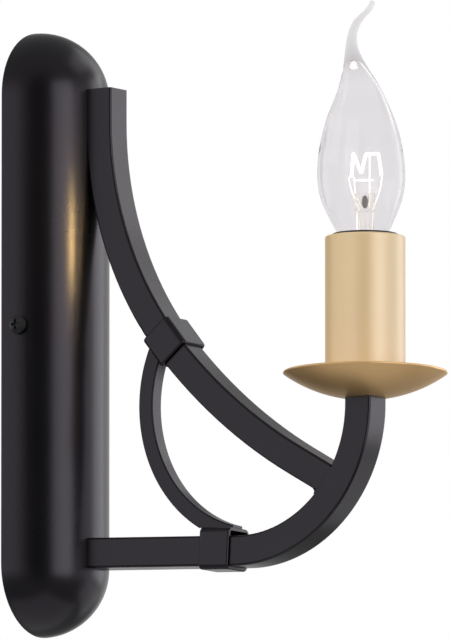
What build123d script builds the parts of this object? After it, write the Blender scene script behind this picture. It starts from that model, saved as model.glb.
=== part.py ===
from build123d import *
import os
from math import cos, degrees, radians, sin, sqrt, tan

os.makedirs("parts", exist_ok=True)

# Candle wall light, in millimetres. The wall is the plane Y = 0, the front is -Y and up is +Z.
# The origin is on the wall, behind the middle of the wall plate.
# Heights are above the origin, and reaches are distances out from the wall.

# Wall plate: half a capsule of pressed sheet, open at the back
plate_width = 54.4
plate_height = 241.0
plate_sheet = 1.5

# Clearances
seat_gap = 0.05          # between pieces that are welded, screwed or clamped together
running_gap = 0.3        # between pieces that move past each other

# Square bars
bar_size = 12.0
bar_corner = 1.0
tube_wall = 1.2
cope_depth = 1.6         # how far an arm's end is hollowed to fit the plate's round front

# Upper arm: straight on the plate, then a long bend that eases off, then straight into the lower arm
upper_top = 95.6
upper_straight = 13.2
upper_bend_radius = 142.3
upper_bend_angle = 41.5
upper_ease_radius = 229.4
upper_ease_angle = 18.6
upper_screw_drop = 8.0   # from the arm's top to its fixing screw

# Lower arm: a tube that droops a little, then bends up under the candle
candle_reach = 155.1
lower_bend_radius = 54.7
lower_bend_height = -38.3
lower_droop = 3.15       # degrees below level

# Ring brace between the arms
ring_size = 6.5
ring_corner = 0.6
ring_radius = 54.8
ring_reach = 107.4       # the ring's centre
ring_height = -32.4
ring_start = 140.0       # its arc before the ends are cut, in degrees
ring_sweep = 125.0
ring_tip_reach = 94.5

# Folded collars
collar_sheet = 1.3
collar_corner = 2.2
collar_length = 14.0
collar_edge_round = 0.8
upper_collar_angle = 39.3   # along the upper arm's bend
upper_collar_room = 1.6      # empty space beside the upper arm, inside its collar
upper_collar_shift = 0.5     # how far that collar sits to one side
lower_collar_reach = 87.7
lower_collar_room = 2.0      # empty space above the lower arm, inside its collar

# Wall bracket
strap_width = 20.0
strap_length = 170.0
strap_sheet = 1.5
slot_spacing = 70.0
slot_length = 14.0
slot_width = 5.0
ear_span = 43.6
ear_width = 16.0
ear_depth = 13.0
ear_clearance = 0.5      # from the cover, which the ears are trimmed to follow
cable_hole_height = 60.0
cable_hole_radius = 6.0

# Cable grommet
grommet_bore_radius = 4.0
grommet_flange = 1.8
grommet_lip = 1.5

# Screw heads, as shares of their height and radius
head_rim_share = 0.45
recess_depth_share = 0.6
recess_length_share = 1.1
recess_width_share = 0.28

# Screws in the plate's sides
side_screw_height = 0.8
side_screw_reach = 8.0
side_head_radius = 3.65
side_head_height = 2.5
side_shank_radius = 2.0
side_shank_length = 9.0

# Small screws inside the plate
small_head_radius = 3.0
small_head_height = 2.0
small_shank_radius = 1.5
earth_height = 18.0
earth_washer_radius = 4.5
earth_washer_sheet = 1.0

# Terminal block
block_height = -57.0
block_length = 18.0
pole_pitch = 9.0
block_base = 9.0
block_head_radius = 2.0
block_shank_radius = 1.25
tower_size = 6.6
tower_height = 4.0
clamp_reach = 5.5        # above the strap
clamp_radius = 2.4
clamp_bore = 1.5
clamp_length = 15.0
clamp_screw_radius = 1.3
clamp_screw_spacing = 8.0

# Upper arm's fixing screw
arm_screw_radius = 2.5
arm_screw_depth = 9.0
arm_head_radius = 4.5
arm_head_height = 3.0
arm_washer_radius = 5.5
washer_sheet = 1.0

# Hollow threaded nipples, with their plugs and nuts
nipple_radius = 4.0
nipple_bore = 2.9
plug_length = 12.0
nut_across = 12.0
nut_height = 4.0
nipple_past_nut = 1.0
nipple_washer_radius = 7.0

# Wires
wire_radius = 1.1
wire_spacing = 2.6
wire_bend_reach = 8.0
wire_bend_radius = 11.0
wire_splay_radius = 2.2
wire_in_clamp = 5.0
wire_below_block = 7.5

# Drip dish: a shallow bowl with a flat seat
dish_radius = 32.1
dish_curve = 56.0
dish_bottom = -36.7
dish_seat_lift = 0.6
dish_sheet = 1.0
dish_rim_round = 0.51

# Candle sleeve
sleeve_radius = 15.75
sleeve_wall = 0.75
sleeve_length = 60.6
sleeve_rim_round = 0.65

# Lampholder
holder_radius = 12.0
holder_rim_radius = 12.8
holder_rim_wall = 0.75
holder_rim_height = 3.0
holder_proud = 1.0       # how far its rim stands above the sleeve
holder_depth = 33.3      # from the rim down to the bulb's contact
holder_floor = 3.0
foot_wall = 1.3
foot_base = 2.5
foot_height = 21.0
foot_flange_sheet = 1.5
foot_flange_lift = 4.5
spigot_length = 3.0
shell_radius = 7.9
shell_length = 16.5
shell_bottom = 1.0       # above the bulb's contact
contact_sheet = 0.8
contact_width = 3.0
socket_radius = 1.8
socket_length = 6.0
socket_offset = 7.1

# Screw thread of the bulb and the lampholder
thread_pitch = 2.822
thread_turns = 4.5
thread_start = 7.0       # above the bulb's contact
thread_circle = 6.0
thread_ridge = 0.9
thread_gap = 0.25
shell_ridge = 0.7        # the lampholder's ridge, which runs half a pitch below the bulb's
cap_radius = 6.15

# Bulb: heights are above its contact
cap_wall = 1.25
cap_bottom = 5.3
cap_thread_top = 20.0
cap_top = 25.8
skirt_radius = 8.1
skirt_wall = 0.5
insulator_bottom = 1.5
insulator_tip = 3.2
contact_radius = 2.4
glass_wall = 0.6
tail_turn = 34.5         # the bent tip's plane, in degrees from the arms' plane
stem_radius = 3.4
stem_bottom = 22.5
stem_flare_top = 29.0
stem_top = 42.5
press_width = 7.8
press_depth = 3.0
press_top = 49.3
lead_radius = 0.3
filament_radius = 0.3

# Stations of the bulb's glass: height above the contact, radius, and how far it leans
glass_stations = [
    (21.8, 6.9, -0.1),
    (26.0, 7.1, -0.3),
    (31.0, 8.8, -0.75),
    (36.5, 11.4, -1.05),
    (42.9, 14.4, -1.3),
    (49.2, 16.5, -1.5),
    (57.0, 17.25, -1.5),
    (65.1, 16.65, -1.65),
    (74.7, 14.7, -1.7),
    (81.0, 12.55, -1.85),
    (87.4, 9.9, -1.95),
    (93.7, 7.2, -2.6),
    (100.1, 4.6, -4.0),
    (106.4, 2.7, -5.2),
    (112.5, 1.9, -4.95),
    (118.6, 1.75, -2.05),
]
glass_tip = (124.6, 1.1, 2.68)   # the tip's end, square to how the tip leans, with a melted bead on it
glass_tip_slope = 40.0
glass_bead_radius = 1.2
glass_hollow_stations = 12   # the hollow follows these, then closes, and the rest of the tip is solid
hollow_end_stations = [(98.0, 4.3, -3.5), (101.0, 2.4, -4.2), (102.2, 0.7, -4.45)]

# Bends of the filament and of the wires that hold it: sideways, then above the contact
filament_bends = [(-5.4, 55.8), (-4.6, 65.3), (-1.5, 57.4), (0.3, 65.0), (5.2, 65.2), (6.6, 55.8)]
lead_bends = [
    [(-2.6, 46.0), (-4.3, 50.5), (-5.45, 55.4)],
    [(2.8, 46.0), (4.2, 50.5), (6.65, 55.4)],
    [(1.5, 46.0), (1.7, 50.0), (1.75, 58.5)],
]

# Places worked out from the sizes above
plate_radius = plate_width / 2
plate_inner = plate_radius - plate_sheet
plate_straight = plate_height / 2 - plate_radius
half_bar = bar_size / 2
upper_reach = plate_radius + half_bar - cope_depth
upper_bend_height = upper_top - upper_straight
upper_bend_reach = upper_reach + upper_bend_radius
upper_screw_height = upper_top - upper_screw_drop
lower_bend_reach = candle_reach - lower_bend_radius
droop_cos = cos(radians(lower_droop))
droop_sin = sin(radians(lower_droop))
lower_bend_start = (lower_bend_reach - lower_bend_radius * droop_sin,
                    lower_bend_height - lower_bend_radius * droop_cos)
dish_centre = dish_bottom + dish_curve
dish_seat = dish_bottom + dish_seat_lift
dish_floor = dish_seat + dish_sheet
dish_inner_curve = dish_curve - dish_sheet
sleeve_inner = sleeve_radius - sleeve_wall
sleeve_bottom = dish_centre - sqrt(dish_inner_curve**2 - sleeve_radius**2) + running_gap
sleeve_top = sleeve_bottom + sleeve_length
holder_top = sleeve_top + holder_proud
bulb_base = holder_top - holder_depth
foot_top = dish_floor + foot_height
strap_front = strap_sheet
tube_inner = bar_size - 2 * tube_wall
clamp_height = strap_front + clamp_reach
block_foot = block_height - block_length / 2

# Drawing planes: the arms' plane, with local x out from the wall, and the bulb's plane
side = Plane(origin=(0, 0, 0), x_dir=(0, -1, 0), z_dir=(-1, 0, 0))
tail_x = Vector(sin(radians(tail_turn)), -cos(radians(tail_turn)), 0)
candle_axis = Axis((0, -candle_reach, 0), (0, 0, 1))
candle_side = Plane(origin=(0, -candle_reach, 0), x_dir=(1, 0, 0), z_dir=(0, -1, 0))
bulb_side = Plane(origin=(0, -candle_reach, bulb_base), x_dir=tail_x,
                  z_dir=tail_x.cross(Vector(0, 0, 1)))
droop_dir = Vector(0, -droop_cos, -droop_sin)


def at(across, reach, height):
    return Vector(across, -reach, height)


def droop_height(reach):
    return lower_bend_start[1] + (lower_bend_start[0] - reach) * tan(radians(lower_droop))


def level_plane(height):
    return Plane(origin=(0, -candle_reach, height), x_dir=(1, 0, 0), z_dir=(0, 0, 1))


def screw_seat(origin, x_dir, out_dir):
    return Plane(origin=origin, x_dir=x_dir, z_dir=out_dir)


def inside_reach(height, spread, slope):
    """Reach of a round seat of that spread and slope, inside the plate at that height."""
    middle = max(abs(height) - plate_straight, 0)
    edge = max(abs(height) + spread - plate_straight, 0)
    return min(sqrt(plate_inner**2 - middle**2 - spread**2), sqrt(plate_inner**2 - edge**2) - spread * slope)


def dome(radius):
    with BuildPart() as capsule:
        with BuildSketch(Plane.XY.offset(-plate_straight)):
            Circle(radius)
        extrude(amount=2 * plate_straight)
        with Locations((0, 0, plate_straight), (0, 0, -plate_straight)):
            Sphere(radius)
    return capsule.part


def domed_screw(seat, head_radius, head_height, shank_radius, shank_length):
    turned = Plane(origin=seat.origin, x_dir=seat.x_dir, z_dir=-seat.y_dir)
    rim_height = head_rim_share * head_height
    dome_height = head_height - rim_height
    dome_radius = (head_radius**2 + dome_height**2) / (2 * dome_height)
    recess_length = recess_length_share * head_radius
    recess_width = recess_width_share * head_radius
    with BuildPart() as screw:
        with BuildSketch(turned):
            with BuildLine():
                Polyline((0, head_height), (0, -shank_length), (shank_radius, -shank_length),
                         (shank_radius, 0), (head_radius, 0), (head_radius, rim_height))
                RadiusArc((head_radius, rim_height), (0, head_height), -dome_radius)
            make_face()
        revolve(axis=Axis(seat.origin, seat.z_dir))
        with BuildSketch(seat.offset(head_height)):
            Rectangle(recess_length, recess_width)
            Rectangle(recess_width, recess_length)
        extrude(amount=-recess_depth_share * head_height, mode=Mode.SUBTRACT)
    return screw


def flat_washer(seat, radius, bore, sheet):
    with BuildPart() as washer:
        with BuildSketch(seat):
            Circle(radius)
            Circle(bore, mode=Mode.SUBTRACT)
        extrude(amount=sheet)
    return washer


def hex_nut(seat, across, bore, height):
    with BuildPart() as nut:
        with BuildSketch(seat):
            RegularPolygon(across / 2, 6, major_radius=False)
            Circle(bore, mode=Mode.SUBTRACT)
        extrude(amount=height)
    return nut


# Outer and inner forms of the wall plate, and the outer form that the arms are fitted to
dome_outside = dome(plate_radius)
dome_inside = dome(plate_inner)
dome_fit = dome(plate_radius + seat_gap)

# Where the lower arm's axis meets the plate's front and the inside of the plate
wall_joint = at(0, plate_radius, droop_height(plate_radius))
nipple_seat_reach = inside_reach(wall_joint.Z, nipple_washer_radius, droop_sin) - 2 * seat_gap
wall_seat = Plane(origin=at(0, nipple_seat_reach, droop_height(nipple_seat_reach)),
                  x_dir=(1, 0, 0), z_dir=-droop_dir)
upper_seat_reach = inside_reach(upper_screw_height, arm_washer_radius, 0) - seat_gap
upper_seat = screw_seat(at(0, upper_seat_reach, upper_screw_height), (1, 0, 0), (0, 1, 0))

with BuildPart() as wall_plate:
    add(dome_outside)
    add(dome_inside, mode=Mode.SUBTRACT)
    split(bisect_by=Plane.XZ, keep=Keep.TOP)
    with Locations(Plane(origin=at(0, plate_radius, upper_screw_height), z_dir=(0, -1, 0))):
        Cylinder(arm_screw_radius + running_gap, plate_width, mode=Mode.SUBTRACT)
    with Locations(Plane(origin=wall_joint, z_dir=droop_dir)):
        Cylinder(nipple_radius + running_gap, plate_width, mode=Mode.SUBTRACT)
    with Locations(Plane(origin=at(0, side_screw_reach, side_screw_height), z_dir=(1, 0, 0))):
        Cylinder(side_shank_radius + running_gap, plate_width, mode=Mode.SUBTRACT)

with BuildPart() as wall_bracket:
    with BuildSketch(Plane.XZ):
        Rectangle(strap_width, strap_length)
        Rectangle(ear_span, ear_width)
        with Locations((0, slot_spacing / 2), (0, -slot_spacing / 2)):
            SlotOverall(slot_length, slot_width, rotation=90, mode=Mode.SUBTRACT)
        with Locations((0, cable_hole_height)):
            Circle(cable_hole_radius, mode=Mode.SUBTRACT)
        with Locations((0, earth_height)):
            Circle(small_shank_radius + seat_gap, mode=Mode.SUBTRACT)
        with Locations((pole_pitch / 2, block_height)):
            Circle(block_shank_radius + seat_gap, mode=Mode.SUBTRACT)
    extrude(amount=strap_sheet)
    with BuildSketch(Plane.XZ):
        with Locations(((ear_span - strap_sheet) / 2, 0), ((strap_sheet - ear_span) / 2, 0)):
            Rectangle(strap_sheet, ear_width)
    extrude(amount=ear_depth)
    with Locations(Plane(origin=at(0, side_screw_reach, side_screw_height), z_dir=(1, 0, 0))):
        Cylinder(side_shank_radius + seat_gap, ear_span, mode=Mode.SUBTRACT)
    add(dome(plate_inner - ear_clearance), mode=Mode.INTERSECT)

# The heads touch the plate at their rear edge and stand clear of its curve in front
side_seat_across = sqrt(plate_radius**2 - (side_screw_reach - side_head_radius)**2) + seat_gap
left_seat = screw_seat(at(-side_seat_across, side_screw_reach, side_screw_height), (0, 1, 0), (-1, 0, 0))
left_screw = domed_screw(left_seat, side_head_radius, side_head_height, side_shank_radius, side_shank_length)
with BuildPart() as side_screws:
    add(left_screw.part)
    mirror(about=Plane.YZ)

with BuildPart() as cable_grommet:
    with BuildSketch(Plane(origin=at(0, 0, cable_hole_height), x_dir=(1, 0, 0), z_dir=(0, 0, 1))):
        with BuildLine():
            flange_radius = cable_hole_radius + grommet_flange
            neck_radius = cable_hole_radius - seat_gap
            Polyline((grommet_bore_radius, 0), (neck_radius, 0), (neck_radius, -strap_front - seat_gap),
                     (flange_radius, -strap_front - seat_gap),
                     (flange_radius - grommet_lip / 2, -strap_front - grommet_lip),
                     (grommet_bore_radius, -strap_front - grommet_lip), close=True)
        make_face()
    revolve(axis=Axis(at(0, 0, cable_hole_height), (0, 1, 0)))

earth_seat = screw_seat(at(0, strap_front, earth_height), (1, 0, 0), (0, -1, 0))
earth_washer = flat_washer(earth_seat, earth_washer_radius, small_shank_radius + seat_gap, earth_washer_sheet)

earth_screw = domed_screw(earth_seat.offset(earth_washer_sheet), small_head_radius, small_head_height,
                          small_shank_radius, strap_sheet + earth_washer_sheet - seat_gap)

# Terminal block with three poles: live, earth and neutral
poles = [-pole_pitch, 0, pole_pitch]
clamp_screw_heights = [block_height - clamp_screw_spacing / 2, block_height + clamp_screw_spacing / 2]
block_front = strap_front + block_base + tower_height
with BuildPart() as terminal_block:
    with BuildSketch(Plane.XZ.offset(strap_front)):
        with Locations((0, block_height)):
            Rectangle(3 * pole_pitch, block_length)
    extrude(amount=block_base)
    with BuildSketch(Plane.XZ.offset(strap_front + block_base)):
        with Locations(*[(x, z) for x in poles for z in clamp_screw_heights]):
            RectangleRounded(tower_size, tower_size, tower_size / 6)
    extrude(amount=tower_height)
    with BuildSketch(Plane.XY.offset(block_foot)):
        with Locations(*[(x, -clamp_height) for x in poles]):
            Circle(clamp_radius + seat_gap)
    extrude(amount=block_length, mode=Mode.SUBTRACT)
    with BuildSketch(Plane.XZ.offset(clamp_height)):
        with Locations(*[(x, z) for x in poles for z in clamp_screw_heights]):
            Circle(clamp_screw_radius + running_gap)
    extrude(amount=block_front - clamp_height, mode=Mode.SUBTRACT)
    with BuildSketch(Plane.XZ.offset(strap_front)):
        with Locations((pole_pitch / 2, block_height)):
            Circle(block_shank_radius + seat_gap)
    extrude(amount=block_base, mode=Mode.SUBTRACT)
    with BuildSketch(Plane.XZ.offset(strap_front + block_base)):
        with Locations((pole_pitch / 2, block_height)):
            Circle(block_head_radius + running_gap)
    extrude(amount=tower_height, mode=Mode.SUBTRACT)

with BuildPart() as terminal_clamps:
    with BuildSketch(Plane.XY.offset(block_height - clamp_length / 2)):
        with Locations(*[(x, -clamp_height) for x in poles]):
            Circle(clamp_radius)
            Circle(clamp_bore, mode=Mode.SUBTRACT)
    extrude(amount=clamp_length)
    with BuildSketch(Plane.XZ.offset(clamp_height)):
        with Locations(*[(x, z) for x in poles for z in clamp_screw_heights]):
            Circle(clamp_screw_radius + seat_gap)
    extrude(amount=2 * clamp_radius, mode=Mode.SUBTRACT)

with BuildPart() as terminal_screws:
    with BuildSketch(Plane.XZ.offset(clamp_height + wire_radius + seat_gap)):
        with Locations(*[(x, z) for x in poles for z in clamp_screw_heights]):
            Circle(clamp_screw_radius)
    extrude(amount=block_base - clamp_reach)
    with BuildSketch(Plane.XZ.offset(clamp_height + wire_radius + seat_gap + block_base - clamp_reach)):
        with Locations(*[(x, z) for x in poles for z in clamp_screw_heights]):
            Rectangle(2 * clamp_screw_radius, clamp_screw_radius / 2)
    extrude(amount=-clamp_screw_radius / 2, mode=Mode.SUBTRACT)

block_seat = screw_seat(at(pole_pitch / 2, strap_front + block_base, block_height), (1, 0, 0), (0, -1, 0))
block_screw = domed_screw(block_seat, block_head_radius, small_head_height, block_shank_radius,
                          strap_sheet + block_base - seat_gap)

# Upper arm: a solid bar, hollowed behind to fit the plate and cut in front to fit the lower arm
upper_bend_end = (upper_bend_reach - upper_bend_radius * cos(radians(upper_bend_angle)),
                  upper_bend_height - upper_bend_radius * sin(radians(upper_bend_angle)))
upper_end_angle = upper_bend_angle + upper_ease_angle
upper_run = (sin(radians(upper_end_angle)), -cos(radians(upper_end_angle)))
upper_ease_end = (upper_bend_end[0] + upper_ease_radius * (cos(radians(upper_bend_angle)) + upper_run[1]),
                  upper_bend_end[1] + upper_ease_radius * (sin(radians(upper_bend_angle)) - upper_run[0]))
upper_run_length = 2 * lower_bend_radius
with BuildPart() as upper_arm:
    with BuildLine(side) as upper_path:
        Line((upper_reach, upper_top), (upper_reach, upper_bend_height))
        RadiusArc((upper_reach, upper_bend_height), upper_bend_end, -upper_bend_radius)
        RadiusArc(upper_bend_end, upper_ease_end, -upper_ease_radius)
        Line(upper_ease_end, (upper_ease_end[0] + upper_run_length * upper_run[0],
                              upper_ease_end[1] + upper_run_length * upper_run[1]))
    with BuildSketch(Plane(origin=at(0, upper_reach, upper_top), x_dir=(1, 0, 0), z_dir=(0, 0, -1))):
        RectangleRounded(bar_size, bar_size, bar_corner)
    sweep(path=upper_path.wire())
    with BuildSketch(side.offset(-bar_size)):
        with Locations((lower_bend_reach, lower_bend_height)):
            Circle(4 * lower_bend_radius)
            Circle(lower_bend_radius - half_bar - seat_gap, mode=Mode.SUBTRACT)
        with Locations((lower_bend_reach, lower_bend_height)):
            Rectangle(8 * lower_bend_radius, 8 * lower_bend_radius, align=(Align.MAX, Align.CENTER),
                      mode=Mode.SUBTRACT)
    extrude(amount=2 * bar_size, mode=Mode.SUBTRACT)
    add(dome_fit, mode=Mode.SUBTRACT)
    with Locations(Plane(origin=at(0, plate_radius, upper_screw_height), z_dir=(0, -1, 0))):
        Cylinder(arm_screw_radius + seat_gap, 2 * arm_screw_depth, mode=Mode.SUBTRACT)

upper_arm_washer = flat_washer(upper_seat, arm_washer_radius, arm_screw_radius + running_gap, washer_sheet)

arm_screw_length = plate_radius - upper_seat_reach + washer_sheet + arm_screw_depth - running_gap
upper_arm_screw = domed_screw(upper_seat.offset(washer_sheet), arm_head_radius, arm_head_height,
                              arm_screw_radius, arm_screw_length)

# Lower arm: a tube along the drooping line, the bend and the short rise to the dish
lower_start = (plate_radius - bar_size, droop_height(plate_radius - bar_size))
with BuildPart() as lower_arm:
    with BuildLine(side) as lower_path:
        Line(lower_start, lower_bend_start)
        RadiusArc(lower_bend_start, (candle_reach, lower_bend_height), -lower_bend_radius)
        Line((candle_reach, lower_bend_height), (candle_reach, dish_seat))
    with BuildSketch(Plane(origin=at(0, *lower_start), x_dir=(1, 0, 0), z_dir=droop_dir)):
        RectangleRounded(bar_size, bar_size, bar_corner)
        Rectangle(tube_inner, tube_inner, mode=Mode.SUBTRACT)
    sweep(path=lower_path.wire())
    add(dome_fit, mode=Mode.SUBTRACT)

plug_size = tube_inner - 2 * seat_gap
with BuildPart() as wall_end_plug:
    with BuildSketch(Plane(origin=wall_joint - droop_dir * plug_length, x_dir=(1, 0, 0), z_dir=droop_dir)):
        Rectangle(plug_size, plug_size)
        Circle(nipple_radius + seat_gap, mode=Mode.SUBTRACT)
    extrude(amount=2 * plug_length)
    add(dome_fit, mode=Mode.SUBTRACT)

nipple_inside = washer_sheet + nut_height + nipple_past_nut
nipple_to_plug = (wall_joint - wall_seat.origin).length + plug_length
with BuildPart() as wall_nipple:
    with BuildSketch(wall_seat.offset(nipple_inside)):
        Circle(nipple_radius)
        Circle(nipple_bore, mode=Mode.SUBTRACT)
    extrude(amount=-nipple_inside - nipple_to_plug)

wall_washer = flat_washer(wall_seat, nipple_washer_radius, nipple_radius + seat_gap, washer_sheet)

wall_nut = hex_nut(wall_seat.offset(washer_sheet), nut_across, nipple_radius + seat_gap, nut_height)

# Ring brace: an arc whose ends are cut to sit on the two collars
collar_cos = cos(radians(upper_collar_angle))
collar_sin = sin(radians(upper_collar_angle))
upper_collar_axis = at(0, upper_bend_reach - upper_bend_radius * collar_cos,
                       upper_bend_height - upper_bend_radius * collar_sin)
collar_face = half_bar + collar_sheet + 2 * seat_gap
upper_collar_foot = upper_collar_axis - Vector(0, -collar_cos, collar_sin) * collar_face
lower_collar_axis = at(0, lower_collar_reach, droop_height(lower_collar_reach))
lower_collar_top = lower_collar_axis + Vector(0, -droop_sin, droop_cos) * (collar_face + lower_collar_room)
ring_outside = ring_radius + ring_size / 2
with BuildPart() as ring_brace:
    with BuildLine(side) as ring_path:
        CenterArc((ring_reach, ring_height), ring_radius, ring_start, ring_sweep)
    with BuildSketch(Plane(origin=ring_path.wire() @ 0, x_dir=(1, 0, 0), z_dir=ring_path.wire() % 0)):
        RectangleRounded(ring_size, ring_size, ring_corner)
    sweep(path=ring_path.wire())
    with BuildSketch(Plane(origin=upper_collar_foot, x_dir=(1, 0, 0), z_dir=(0, -collar_cos, collar_sin))):
        Rectangle(2 * ring_outside, 2 * ring_outside)
    extrude(amount=2 * ring_outside, mode=Mode.SUBTRACT)
    with BuildSketch(Plane(origin=lower_collar_top, x_dir=(1, 0, 0), z_dir=(0, droop_sin, -droop_cos))):
        Rectangle(2 * ring_outside, 2 * ring_outside)
    extrude(amount=ring_outside, mode=Mode.SUBTRACT)
    with BuildSketch(Plane(origin=at(0, ring_tip_reach, 0), x_dir=(1, 0, 0), z_dir=(0, -1, 0))):
        Rectangle(4 * ring_outside, 4 * ring_outside)
    extrude(amount=2 * ring_outside, mode=Mode.SUBTRACT)


def collar(middle, run, side_room, side_shift, top_room):
    inner_width = bar_size + 2 * seat_gap + side_room
    inner_height = bar_size + 2 * seat_gap + top_room
    with BuildPart() as folded:
        with BuildSketch(Plane(origin=middle - run * (collar_length / 2), x_dir=(1, 0, 0), z_dir=run)):
            with Locations((side_shift, top_room / 2)):
                RectangleRounded(inner_width + 2 * collar_sheet, inner_height + 2 * collar_sheet, collar_corner)
                RectangleRounded(inner_width, inner_height, collar_corner - collar_sheet, mode=Mode.SUBTRACT)
        extrude(amount=collar_length)
        along = folded.faces().sort_by(Axis(middle, run))
        fillet(along[0].outer_wire().edges() + along[-1].outer_wire().edges(), collar_edge_round)
    return folded


# The upper collar is straight, so it leaves room for the arm's bend
upper_collar_bow = collar_length**2 / (8 * (upper_bend_radius - half_bar))
upper_collar = collar(upper_collar_axis, Vector(0, -collar_sin, -collar_cos), upper_collar_room,
                      upper_collar_shift, upper_collar_bow)
lower_collar = collar(lower_collar_axis, droop_dir, 0, 0, lower_collar_room)

# Candle end of the lower arm: plug, nipple, dish, lampholder foot and nut
plug_arc = degrees(plug_length / lower_bend_radius)
with BuildPart() as candle_end_plug:
    with BuildLine(side) as plug_path:
        CenterArc((lower_bend_reach, lower_bend_height), lower_bend_radius, -plug_arc, plug_arc)
        Line((candle_reach, lower_bend_height), (candle_reach, dish_seat - seat_gap))
    with BuildSketch(Plane(origin=plug_path.wire() @ 0, x_dir=(1, 0, 0), z_dir=plug_path.wire() % 0)):
        Rectangle(plug_size, plug_size)
    sweep(path=plug_path.wire())
    with BuildSketch(level_plane(dish_seat)):
        Circle(nipple_radius + seat_gap)
    extrude(amount=-2 * plug_length, mode=Mode.SUBTRACT)

nut_seat = dish_floor + foot_base
nipple_foot = lower_bend_height - plug_length / 2
with BuildPart() as candle_nipple:
    with BuildSketch(level_plane(nipple_foot)):
        Circle(nipple_radius)
        Circle(nipple_bore, mode=Mode.SUBTRACT)
    extrude(amount=nut_seat + nut_height + nipple_past_nut - nipple_foot)

holder_nut = hex_nut(level_plane(nut_seat), nut_across, nipple_radius + seat_gap, nut_height)

dish_flat = sqrt(dish_curve**2 - (dish_centre - dish_seat)**2)
dish_flat_inside = sqrt(dish_inner_curve**2 - (dish_centre - dish_floor)**2)
dish_rim_height = dish_centre - sqrt(dish_curve**2 - dish_radius**2)
dish_inner_rim = (dish_radius * dish_inner_curve / dish_curve,
                  dish_centre - sqrt(dish_curve**2 - dish_radius**2) * dish_inner_curve / dish_curve)
with BuildPart() as dish:
    with BuildSketch(candle_side):
        with BuildLine():
            Polyline((nipple_radius + running_gap, dish_floor), (nipple_radius + running_gap, dish_seat),
                     (dish_flat, dish_seat))
            RadiusArc((dish_flat, dish_seat), (dish_radius, dish_rim_height), -dish_curve)
            RadiusArc((dish_radius, dish_rim_height), dish_inner_rim, -dish_rim_round)
            RadiusArc(dish_inner_rim, (dish_flat_inside, dish_floor), dish_inner_curve)
            Line((dish_flat_inside, dish_floor), (nipple_radius + running_gap, dish_floor))
        make_face()
    revolve(axis=candle_axis)

with BuildPart() as candle_sleeve:
    with BuildSketch(level_plane(sleeve_bottom)):
        Circle(sleeve_radius)
        Circle(sleeve_inner, mode=Mode.SUBTRACT)
    extrude(amount=sleeve_length)
    fillet(candle_sleeve.edges().group_by(Axis.Z)[-1].sort_by(SortBy.LENGTH)[-1], sleeve_rim_round)

# Lampholder: a cup-shaped foot, the body on it, the threaded shell and the centre contact
foot_inner = holder_radius - foot_wall
flange_bottom = dish_floor + foot_flange_lift
with BuildPart() as holder_foot:
    with BuildSketch(candle_side):
        with BuildLine():
            Polyline((nipple_radius + seat_gap, dish_floor), (dish_flat_inside, dish_floor),
                     (holder_radius, dish_floor + foot_base), (holder_radius, flange_bottom),
                     (sleeve_inner - running_gap, flange_bottom),
                     (sleeve_inner - running_gap, flange_bottom + foot_flange_sheet),
                     (holder_radius, flange_bottom + foot_flange_sheet), (holder_radius, foot_top),
                     (foot_inner, foot_top), (foot_inner, nut_seat), (nipple_radius + seat_gap, nut_seat),
                     close=True)
        make_face()
    revolve(axis=candle_axis)

shell_base = bulb_base + shell_bottom
floor_top = bulb_base - 2 * contact_sheet - running_gap
mouth_radius = shell_radius + 2 * running_gap
rim_bottom = holder_top - holder_rim_height
rim_inner = holder_rim_radius - holder_rim_wall
slot_clear = contact_sheet + 2 * running_gap
spigot_radius = foot_inner - seat_gap
spigot_inner = spigot_radius - foot_wall
shell_seat = shell_radius + seat_gap
shell_lip = shell_radius - contact_sheet - running_gap
shell_top = shell_base + shell_length
with BuildPart() as holder_body:
    with BuildSketch(candle_side):
        with BuildLine():
            Polyline((0, floor_top - holder_floor), (spigot_inner, floor_top - holder_floor),
                     (spigot_inner, foot_top - spigot_length), (spigot_radius, foot_top - spigot_length),
                     (spigot_radius, foot_top), (holder_radius, foot_top),
                     (holder_radius, rim_bottom - holder_rim_wall), (holder_rim_radius, rim_bottom),
                     (holder_rim_radius, holder_top), (rim_inner, holder_top), (rim_inner, rim_bottom),
                     (mouth_radius, shell_top), (shell_seat, shell_top), (shell_seat, shell_base),
                     (shell_lip, shell_base), (shell_lip, floor_top), (0, floor_top), close=True)
        make_face()
    revolve(axis=candle_axis)
    with BuildSketch(level_plane(floor_top - holder_floor)):
        with Locations((-socket_offset, 0), (socket_offset, 0)):
            Rectangle(slot_clear, contact_width + 2 * running_gap)
    extrude(amount=shell_base - floor_top + holder_floor, mode=Mode.SUBTRACT)

socket_top = floor_top - holder_floor - 2 * contact_sheet
shell_bore = thread_circle + thread_ridge + thread_gap
shell_ridge_start = bulb_base + thread_start - 1.5 * thread_pitch
with BuildPart() as screw_shell:
    with BuildLine() as shell_path:
        Helix(pitch=thread_pitch, height=shell_top - shell_ridge_start - 2 * shell_ridge, radius=shell_bore,
              center=(0, -candle_reach, shell_ridge_start))
    with BuildSketch(Plane(origin=shell_path.wire() @ 0, z_dir=shell_path.wire() % 0)):
        Circle(shell_ridge)
    sweep(path=shell_path.wire(), is_frenet=True)
    with BuildSketch(level_plane(shell_base)):
        Circle(shell_radius)
        Circle(shell_bore, mode=Mode.SUBTRACT)
    extrude(amount=shell_length)
    with BuildSketch(level_plane(shell_base)):
        with Locations((socket_offset, 0)):
            Rectangle(contact_sheet, contact_width)
    extrude(amount=socket_top - shell_base - contact_sheet)
    with BuildSketch(level_plane(socket_top)):
        with Locations((socket_offset, 0)):
            Circle(socket_radius)
            Circle(wire_radius + seat_gap, mode=Mode.SUBTRACT)
    extrude(amount=-socket_length)

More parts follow.
